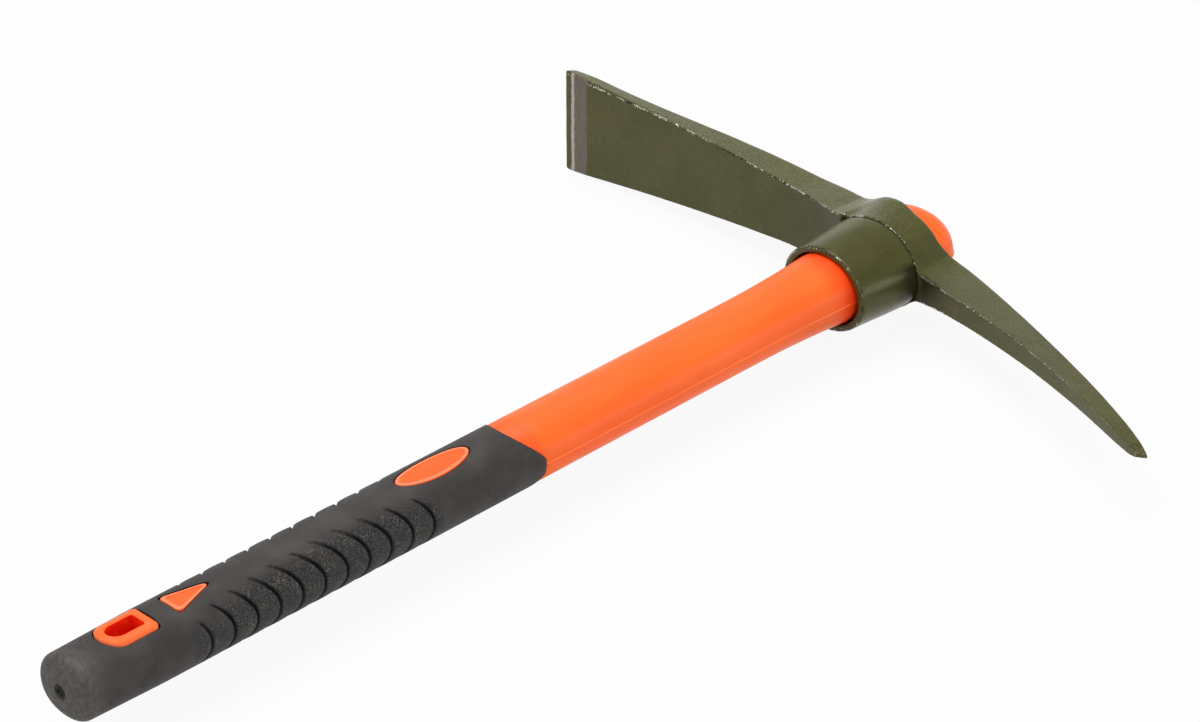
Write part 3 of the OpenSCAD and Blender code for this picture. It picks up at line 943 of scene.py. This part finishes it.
def pick_section(share):
    """A section of the pick, from its root in the eye to its tip."""
    inner_root = Vector((pick_root, eye_height - pick_root_depth))
    outer_root = Vector((pick_outer_root, eye_height))
    lift = Vector((0, pick_lift * (1 - smooth_step(share, 0, pick_lift_share))))
    inner = curve_point(inner_root, pick_tip_inner, inner_curve_shares, share) + lift
    outer = curve_point(outer_root, pick_tip_outer, outer_curve_shares, share) + lift
    half = (pick_root_width + (pick_tip_width - pick_root_width) * share) / 2
    half += pick_flare * max(0, 1 - share / pick_flare_share) ** 2
    half -= pick_point * max(0, share / pick_point_share - 1)
    return inner, outer, half


select_arm(1)
grow_arm([pick_section(share) for share in pick_shares], *pick_draft)

on_line = 0.001
fillet_places = (-13.5, 18)
parting_crease = 0.9
valley_sections, valley_crease = (4, 1), 0.75
# The corner under the pick's root and the blade's root get painted shade; these values place it.
crevice_start, crevice_fades = 12, (24, 42)
crevice_rows = (19, 23)
crevice_half = 8
crevice_depth_share = 0.1
blade_root_shade, blade_fades, blade_middle_share = 0.45, (17, 48), 0.9
blade_wears, blade_wear, blade_low_wear = 21, 1, 0.45
pick_wears, pick_wear = 13, 0.8
root_wears, root_wear = (19, 34), 1.3
tip_wears, tip_wear = 4, 0.45
rim_radii, rim_rows, rim_wear = (17.1, 18.5), (1, 40.2), 0.55
eye_wear, outer_wear = 0.85, 0.3
corner_worn, corner_wears = 1.3, (90, 138)
head_mesh, depth_share, width_share, section_number = head_layers()
wear = head_mesh.verts.layers.float.new("edge_wear")
crevice_shade = head_mesh.verts.layers.float.new("crevice_shade")


def at_side(vertices):
    """Whether points all lie at an arm's sides."""
    return all(abs(vertex[width_share]) > side_share for vertex in vertices)


def in_fillet(vertices):
    """Whether an edge lies across one of the fillets between the eye and an arm."""
    reaches = sorted(vertex.co.x for vertex in vertices)
    return any(reaches[0] < place < reaches[1] for place in fillet_places)


def on_parting(edge):
    """Whether an edge runs along the parting line at an arm's side, clear of the fillets."""
    at_parting = all(abs(vertex[depth_share]) < on_line for vertex in edge.verts)
    return at_parting and at_side(edge.verts) and not in_fillet(edge.verts)


def in_valley(edge):
    """Whether an edge runs along the valley at an arm's root, where its side meets the eye's shoulder."""
    in_section = all(vertex[section_number] == valley_sections[vertex.co.x > 0] for vertex in edge.verts)
    return in_section and at_side(edge.verts)


def crevice_shade_at(point, depth, width):
    """How much painted shade darkens the paint at a point, in the corner under the pick's root or along the
    blade's root.
    """
    below = depth < 0 or point.x > crevice_fades[0] and depth < crevice_depth_share
    if point.x > crevice_start and abs(point.z) < crevice_half and below:
        return (1 - smooth_step(point.x, *crevice_fades)) * smooth_step(point.y, *crevice_rows)
    if point.x < 0 and abs(depth) < on_line and abs(width) < blade_middle_share:
        return blade_root_shade * (1 - smooth_step(-point.x, *blade_fades))
    return 0


def wear_at(point, depth, width):
    """How worn the paint is at a point, on the parting line, the outer edges, the eye's rims and the tip."""
    sideways = abs(width) > side_share
    if point.x > pick_reach - tip_wears:
        return tip_wear
    if sideways and abs(depth) < on_line:
        if point.x < -blade_wears:
            return blade_wear if point.z > 0 else blade_low_wear
        if root_wears[0] < point.x < root_wears[1]:
            return root_wear
        return pick_wear if point.x > pick_wears else eye_wear
    if sideways and depth > 1 - on_line and eye_radius(point) > blade_wears:
        return outer_wear
    at_rim = point.y < rim_rows[0] or point.y > rim_rows[1]
    return rim_wear if at_rim and rim_radii[0] < eye_radius(point) < rim_radii[1] else 0


for test, crease in ((on_parting, parting_crease), (in_valley, valley_crease)):
    select_where(forged_head, "EDGE", test)
    bpy.ops.transform.edge_crease(value=crease)
for vertex in head_mesh.verts:
    place_on_arm = vertex[depth_share], vertex[width_share]
    vertex[crevice_shade] = crevice_shade_at(vertex.co, *place_on_arm)
    vertex[wear] = wear_at(vertex.co, *place_on_arm)
    if vertex[width_share] > side_share and abs(vertex[depth_share]) < on_line:
        vertex.co.z -= corner_worn * smooth_step(-vertex.co.x, *corner_wears)
bmesh.update_edit_mesh(forged_head.data)
bpy.ops.object.mode_set(mode="OBJECT")

rounding_levels = 2
ripple_size, ripple_height = 9, 0.16
rounding = forged_head.modifiers.new("rounding", "SUBSURF")
rounding.levels = rounding_levels
rounding.render_levels = rounding_levels
bpy.ops.object.modifier_apply(modifier=rounding.name)
hammering = bpy.data.textures.new("forging_ripple", "CLOUDS")
hammering.noise_scale = ripple_size
ripple = forged_head.modifiers.new("ripple", "DISPLACE")
ripple.texture = hammering
ripple.strength = ripple_height
ripple.mid_level = 0.5
bpy.ops.object.modifier_apply(modifier=ripple.name)
set_in_frame(forged_head, head_smooth_angle)

olive = (0.058, 0.057, 0.0195)
olive_light = (0.071, 0.069, 0.0245)
olive_dark = (0.030, 0.032, 0.007)
# The near-black olive of painted shade in the corners, also used for the paint's pits.
olive_pit_and_shade = (0.012, 0.012, 0.004)
# Pale specks of rough forging skin, and painted sparkle highlight where light glances.
olive_speck_and_glint = (0.145, 0.14, 0.06)
steel_dark = (0.085, 0.069, 0.058)
steel = (0.145, 0.119, 0.104)
# The pale steel of a painted highlight along the bevel's crest.
steel_edge_highlight = (0.36, 0.33, 0.29)
steel_bright = (0.55, 0.53, 0.47)
paint_roughness, paint_specular, paint_sheen = 0.4, 0.23, (1, 0.97, 0.7, 1)
mottle_size, mottle_range = 14, (0.3, 0.75)
gloss_range, gloss_roughness = (0.25, 0.75), (0.2, 0.3)
streak_size, streak_stretch, streak_range, streak_shares = 2.2, (1, 0.18, 1), (0.5, 0.8), (0, 0.35)
peel_size, peel_relief = 0.7, (0.35, 0.0003)
ground_edge = 0.6 - blade_reach
ground_starts = (ground_edge + 2.8, ground_edge + 3.3)
ground_stops = (ground_edge + 10.3, ground_edge + 11)
edge_highlight_stops = (ground_edge + 4.1, ground_edge + 4.8)
ground_facing = (-0.6, -0.8)
wander_size, wander_reach = 4, 0.0012
grinding_size, grinding_stretch = 0.5, (1, 1, 0.1)
skin_facing = (0.72, 0.92)
skin_fades, skin_pick_share = (-20, 25), 0.4
skin_rows, skin_pick_starts = (24, 28), (21, 26)
skin_speck_size, skin_speck_range = 0.55, (0.45, 0.72)
worn_range = (0.74, 0.82)


def worn_marks(tree, mark_size, detail, patch_size, patch_range, patch_shares):
    """Marks in the paint that gather in patches along its worn edges."""
    patches = ramp(tree, grain(tree, patch_size), *patch_range, *patch_shares)
    worn = work_out(tree, "MULTIPLY", read_layer(tree, "edge_wear"), patches)
    return ramp(tree, work_out(tree, "ADD", worn, grain(tree, mark_size, detail)), *worn_range)


paint, tree, shader = start_finish("olive_paint", olive, paint_roughness)
mottle = grain(tree, mottle_size, detail=5)
streaks = grain(tree, streak_size, detail=4, stretch=streak_stretch)
streaks = ramp(tree, streaks, *streak_range, *streak_shares)
along_head = place_on(tree)
normal = add_node(tree, "NewGeometry", {}).outputs["Normal"]
facing = add_node(tree, "SeparateXYZ", {"Vector": normal}).outputs
wander = work_out(tree, "MULTIPLY", grain(tree, wander_size, detail=3), wander_reach)
from_edge = work_out(tree, "ADD", along_head["X"], wander)
ground_in = ramp(tree, from_edge, *in_metres(eye_mouth.x, ground_starts))
ground_out = ramp(tree, from_edge, *in_metres(eye_mouth.x, ground_stops), 1, 0)
# A pale band where the ground bevel meets the blade's nose, as painted highlight on that crest.
edge_highlight = ramp(tree, from_edge, *in_metres(eye_mouth.x, edge_highlight_stops), 1, 0)
ground_side = ramp(tree, facing["Y"], *ground_facing)
ground = work_out(tree, "MULTIPLY", ground_in, ground_out, ground_side)
grinding = grain(tree, grinding_size, stretch=grinding_stretch)
steel_color = tint(tree, grinding, steel_dark, steel)
steel_color = tint(tree, edge_highlight, steel_color, steel_edge_highlight)
# Pale specks on the arms' broad sides that face up or down, away from the collar: rough forging skin and
# painted sparkle highlight.
up_or_down_facing = ramp(tree, work_out(tree, "ABSOLUTE", facing["Z"], 0), *skin_facing)
blade_side = ramp(tree, along_head["X"], *in_metres(eye_mouth.x, skin_fades), 1, skin_pick_share)
above_parting = ramp(tree, along_head["Y"], *in_metres(eye_mouth.y, skin_rows))
on_pick = ramp(tree, along_head["X"], *in_metres(eye_mouth.x, skin_pick_starts))
off_collar = work_out(tree, "MAXIMUM", above_parting, on_pick)
skin_specks_and_glint = ramp(tree, grain(tree, skin_speck_size, detail=4), *skin_speck_range)
skin_specks_and_glint = work_out(tree, "MULTIPLY", up_or_down_facing, blade_side, off_collar, skin_specks_and_glint)
pits = worn_marks(tree, mark_size=1.1, detail=3, patch_size=7,
                  patch_range=(0.4, 0.6), patch_shares=(0.16, 0.46))
chips = worn_marks(tree, mark_size=0.75, detail=4, patch_size=9,
                   patch_range=(0.36, 0.6), patch_shares=(0.17, 0.36))
# Painted shade in the corners at the arms' roots.
crevice_shade_share = read_layer(tree, "crevice_shade")
paint_color = tint(tree, ramp(tree, mottle, *mottle_range), olive, olive_light)
for share, color in ((streaks, olive_dark), (crevice_shade_share, olive_pit_and_shade), (skin_specks_and_glint, olive_speck_and_glint),
                     (pits, olive_pit_and_shade), (chips, steel_bright), (ground, steel_color)):
    paint_color = tint(tree, share, paint_color, color)
set_inputs(tree, shader, {
    "Base Color": paint_color,
    "Metallic": chips,
    "Roughness": ramp(tree, mottle, *gloss_range, *gloss_roughness),
    "Specular IOR Level": paint_specular,
    "Specular Tint": paint_sheen})
bump(tree, shader, grain(tree, peel_size, detail=3), *peel_relief)
forged_head.data.materials.append(paint)
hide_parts("head")
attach(forged_head, "root")


# Studio
# The tool lies on a plain white floor, lit by large soft lamps from above and from the camera's side, with
# weaker ones behind. The camera stands where the photograph was taken from.

floor_size = 8
floor_gap = 0.0003
floor_grey, floor_roughness = (0.6, 0.6, 0.6), 0.9
floor_white_share = 0.92
white = (1, 1, 1, 1)
studio = bpy.context.scene
bpy.ops.object.select_all(action="DESELECT")
bpy.ops.mesh.primitive_plane_add(size=floor_size, location=(0, 0, cad_box[0][2] - floor_gap))
floor = bpy.context.object
floor.name = "studio_floor"
floor_finish, tree, shader = start_finish("white_floor", floor_grey, floor_roughness)
rays = add_node(tree, "LightPath", {}).outputs
seen = work_out(tree, "MAXIMUM", rays["Is Camera Ray"], rays["Is Glossy Ray"], rays["Is Transmission Ray"])
white_share = work_out(tree, "MULTIPLY", seen, floor_white_share)
glow = add_node(tree, "Emission", {"Color": white, "Strength": 1}).outputs[0]
floor_mix = add_node(tree, "MixShader", {0: white_share, 1: shader.outputs[0], 2: glow}).outputs[0]
set_inputs(tree, tree.nodes["Material Output"], {"Surface": floor_mix})
floor.data.materials.append(floor_finish)

horizon_light, zenith_light = 1, 0.12
sky_rise = (0.1, 0.45)
surround = bpy.data.worlds.new("white_surround")
surround.use_nodes = True
tree = surround.node_tree
direction = add_node(tree, "TexCoord", {}).outputs["Generated"]
rise = add_node(tree, "SeparateXYZ", {"Vector": direction}).outputs["Z"]
level = ramp(tree, rise, *sky_rise, horizon_light, zenith_light)
set_inputs(tree, tree.nodes["Background"], {"Color": white, "Strength": level})
studio.world = surround
studio.view_settings.view_transform = "Standard"


def add_lamp(name, place, size, power):
    """Adds a soft lamp of that width and height in metres and that power in watts, facing the tool."""
    lamp = bpy.data.lights.new(name, "AREA")
    lamp.shape = "RECTANGLE"
    lamp.size, lamp.size_y = size
    lamp.energy = power
    holder = bpy.data.objects.new(name, lamp)
    studio.collection.objects.link(holder)
    holder.location = place
    holder.rotation_euler = Vector(place).to_track_quat("Z", "Y").to_euler()


add_lamp("overhead_lamp", place=(-0.3, 0.05, 1.4), size=(1.3, 1.3), power=28)
add_lamp("front_lamp", place=(-0.4, -1.7, 0.7), size=(1.2, 1.2), power=8)
add_lamp("right_lamp", place=(1.5, -0.4, 0.8), size=(1.2, 1.2), power=7.5)
add_lamp("back_strip", place=(1.2, 1.05, 0.16), size=(1.2, 0.12), power=3.5)
add_lamp("back_left_lamp", place=(-1.25, 1.2, 0.65), size=(1.2, 0.7), power=1.3)

view_turn = math.radians(44.71)
view_rise = math.radians(30.83)
view_distance = 1.3729
aim_right, aim_up = -0.07427, -0.02386
lens_length, film_width = 123.77, 36
camera_data = bpy.data.cameras.new("photo_camera")
camera_data.lens = lens_length
camera_data.sensor_width = film_width
camera = bpy.data.objects.new("photo_camera", camera_data)
studio.collection.objects.link(camera)
right = Vector((math.cos(view_turn), math.sin(view_turn), 0))
back = Vector((math.sin(view_turn) * math.cos(view_rise), -math.cos(view_turn) * math.cos(view_rise),
               math.sin(view_rise)))
up = back.cross(right)
camera.location = eye_mouth + right * aim_right + up * aim_up + back * view_distance
camera.rotation_euler = (math.pi / 2 - view_rise, 0, view_turn)
studio.camera = camera
